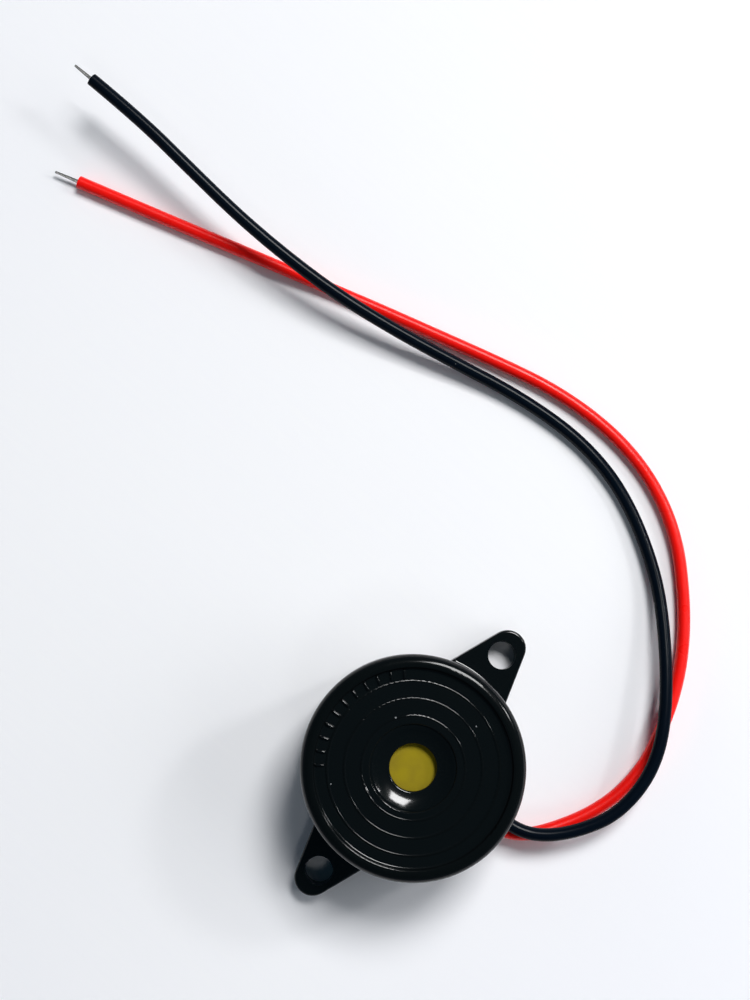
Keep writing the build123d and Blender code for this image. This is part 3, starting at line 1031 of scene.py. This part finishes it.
RED_ROUTE: list[Point] = [
    (0.00083735, -0.0109, 0.002),
    (0.00083735, -0.0121, 0.002),
    (0.00164, -0.01365, 0.00174),
    (0.00285, -0.0149, 0.00156),
    (0.0043, -0.01593, 0.00145),
    (0.00598, -0.01693, 0.00136),
    (0.0082, -0.01803, 0.00128),
    (0.01072, -0.01886, 0.0012),
    (0.01275, -0.0192, 0.00115),
    (0.01493, -0.01928, 0.0011),
    (0.01706, -0.01914, 0.00105),
    (0.01964, -0.01846, 0.001),
    (0.02308, -0.01737, 0.0009),
    (0.02671, -0.01564, 0.0008),
    (0.03022, -0.01326, 0.00074),
    (0.03356, -0.01031, 0.00072),
    (0.03679, -0.00686, 0.00072),
    (0.03927, -0.00285, 0.00072),
    (0.04101, 0.00197, 0.00072),
    (0.04167, 0.00783, 0.00072),
    (0.04105, 0.01459, 0.00072),
    (0.0393, 0.02122, 0.00072),
    (0.03728, 0.02801, 0.00072),
    (0.03498, 0.03574, 0.00072),
    (0.03257, 0.04335, 0.00072),
    (0.03036, 0.05041, 0.00072),
    (0.02831, 0.05676, 0.00072),
    (0.02631, 0.06317, 0.00072),
    (0.02426, 0.06972, 0.00072),
]
BLACK_ROUTE: list[Point] = [
    (0.0018627, -0.0109, 0.0030253),
    (0.0018627, -0.0121, 0.0030253),
    (0.00232, -0.0139, 0.00312),
    (0.00325, -0.0154, 0.0032),
    (0.00469, -0.0169, 0.00322),
    (0.00673, -0.01837, 0.00322),
    (0.00907, -0.01957, 0.00325),
    (0.01127, -0.02008, 0.00328),
    (0.01363, -0.02017, 0.0033),
    (0.01599, -0.01986, 0.0033),
    (0.01856, -0.01897, 0.00328),
    (0.02127, -0.01744, 0.0031),
    (0.02453, -0.01506, 0.0026),
    (0.02833, -0.01176, 0.0018),
    (0.03174, -0.00823, 0.00112),
    (0.03425, -0.0046, 0.00082),
    (0.03635, -0.00064, 0.00074),
    (0.03783, 0.00346, 0.00072),
    (0.03851, 0.00791, 0.00072),
    (0.03845, 0.01239, 0.00074),
    (0.03764, 0.01823, 0.00088),
    (0.03627, 0.02377, 0.0014),
    (0.03444, 0.03129, 0.0024),
    (0.03309, 0.03873, 0.00335),
    (0.0325, 0.04534, 0.0041),
    (0.03237, 0.05256, 0.0047),
    (0.0328, 0.06, 0.0051),
    (0.03334, 0.06793, 0.0054),
    (0.03322, 0.07468, 0.0056),
]


@dataclass
class Solids:
    """The carried-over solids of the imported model, which only get their finishes."""

    nodes: dict[str, Piece]

    def dress(self) -> None:
        """Give every solid its finish."""
        for name, solid in self.nodes.items():
            finish = self._finish(name)
            for place in solid.material_slots:
                place.material = finish.material()
            LOG.info("%s: %s", name, finish.name)

    @staticmethod
    def _finish(name: str) -> Finish:
        """Choose a solid's finish by its name.

        Args:
            name: The node's name.

        Returns:
            Its finish.
        """
        if name in RESISTORS:
            low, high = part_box(name)
            return replace(LACQUER, name=f"{name}_lacquer", middle=(low.x + high.x) / 2)
        return FINISHES.get(name, TINNED)


@dataclass(frozen=True)
class Lamp:
    """A rectangular soft light, aimed at the object."""

    name: str
    azimuth: float
    elevation: float
    distance: float
    width: float
    height: float
    power: float
    colour: Colour = (1.0, 1.0, 1.0)
    mirrored: bool = True

    def build(self, target: Vector) -> None:
        """Hang the light.

        Args:
            target: What it is aimed at.
        """
        turn, rise = math.radians(self.azimuth), math.radians(self.elevation)
        flat = math.cos(rise)
        away = Vector((math.cos(turn) * flat, math.sin(turn) * flat, math.sin(rise)))
        light = bpy.data.lights.new(self.name, "AREA")
        light.shape = "RECTANGLE"
        light.size, light.size_y = self.width, self.height
        light.energy = self.power
        light.color = self.colour
        lamp = bpy.data.objects.new(self.name, light)
        lamp.matrix_world = facing(target + away * self.distance, away)
        lamp.visible_glossy = self.mirrored
        bpy.context.collection.objects.link(lamp)


@dataclass
class Studio:
    """The paper, the lights, the surroundings and the camera."""

    paper_size: float = 3.0
    paper: Paper = Paper("drawing_paper", (0.954, 0.954, 0.968), 0.9, specular=0.1, bump=0.00001)
    target: Vector = field(default_factory=lambda: Vector((0.012, 0.022, 0.0)))
    lamps: tuple[Lamp, ...] = (
        Lamp(
            "window_light", azimuth=9.0, elevation=55.5, distance=1.2,
            width=0.42, height=0.42, power=11.95,
        ),
        Lamp(
            "side_light", azimuth=-28.0, elevation=34.0, distance=0.4,
            width=0.04, height=0.04, power=0.22,
        ),
        Lamp(
            "far_light", azimuth=235.0, elevation=56.0, distance=0.6,
            width=0.12, height=0.12, power=0.16, mirrored=False,
        ),
        Lamp(
            "left_fill", azimuth=130.0, elevation=26.0, distance=0.8,
            width=0.80, height=0.25, power=0.45, colour=(0.97, 0.96, 1.0), mirrored=False,
        ),
        Lamp(
            "right_fill", azimuth=-50.0, elevation=30.0, distance=0.35,
            width=0.30, height=0.20, power=0.39, mirrored=False,
        ),
    )
    horizon_colour: Colour = (0.10, 0.125, 0.17)
    overhead_colour: Colour = (0.012, 0.03, 0.045)
    overhead_span: Span = (0.1, 0.6)
    camera_place: Point = (0.00589, 0.01075, 0.17521)
    camera_right: Point = (0.65386, -0.75661, 0.00254)
    camera_down: Point = (-0.75297, -0.65104, -0.09583)
    camera_forward: Point = (0.07417, 0.06075, -0.99539)
    camera_reach: Span = (0.005, 20.0)
    focal_pixels: float = 1600.0
    image_height: float = 1000.0

    def build(self) -> None:
        """Set up the whole studio."""
        bpy.context.scene.view_settings.view_transform = "Standard"
        self._paper()
        self._surroundings()
        for lamp in self.lamps:
            lamp.build(self.target)
        self._camera()
        LOG.info("studio: %d lights", len(self.lamps))

    def _paper(self) -> None:
        """Lay the paper that the buzzer rests on."""
        start_fresh()
        bpy.ops.mesh.primitive_plane_add(size=self.paper_size, location=(0.0, 0.0, 0.0))
        sheet = bpy.context.object
        sheet.name = "paper"
        sheet.data.materials.append(self.paper.material())

    def _surroundings(self) -> None:
        """Make the room: dim overhead and paler towards the horizon."""
        world = bpy.data.worlds.new("room")
        world.use_nodes = True
        graph = Graph(world.node_tree)
        upward = graph.node("ShaderNodeTexCoord").outputs["Generated"]
        overhead = graph.mask(graph.along(upward, "Z"), self.overhead_span)
        room = graph.blend(overhead, self.horizon_colour, self.overhead_colour)
        graph.feed(world.node_tree.nodes["Background"].inputs["Color"], room)
        bpy.context.scene.world = world

    def _camera(self) -> None:
        """Stand the camera where the photograph was taken from."""
        data = bpy.data.cameras.new("camera")
        data.lens = self.focal_pixels / self.image_height * data.sensor_width
        data.clip_start, data.clip_end = self.camera_reach
        camera = bpy.data.objects.new("camera", data)
        axes = [Vector(self.camera_right), -Vector(self.camera_down), -Vector(self.camera_forward)]
        turn = Matrix(axes).transposed().to_quaternion().to_matrix().to_4x4()
        camera.matrix_world = Matrix.Translation(self.camera_place) @ turn
        bpy.context.collection.objects.link(camera)
        bpy.context.scene.camera = camera


def main() -> None:
    """Build the studio, the leads, the front marks and the finishes, in that order."""
    logging.basicConfig(level=logging.INFO, format="%(name)s %(message)s")
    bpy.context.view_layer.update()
    Studio().build()
    leads = (
        Lead(
            "red_lead", RED_ROUTE, length=0.12369, finish=RED_PVC,
            slot=Slot.LEAD_RED, tip=BareTip(length=0.0029),
        ),
        Lead(
            "black_lead", BLACK_ROUTE, length=0.12425, finish=BLACK_PVC,
            slot=Slot.LEAD_BLACK, tip=BareTip(length=0.0024),
        ),
    )
    for lead in leads:
        lead.build()
    FrontMarks().build()
    Solids(frame["nodes"]).dress()


if __name__ == "__main__":
    main()
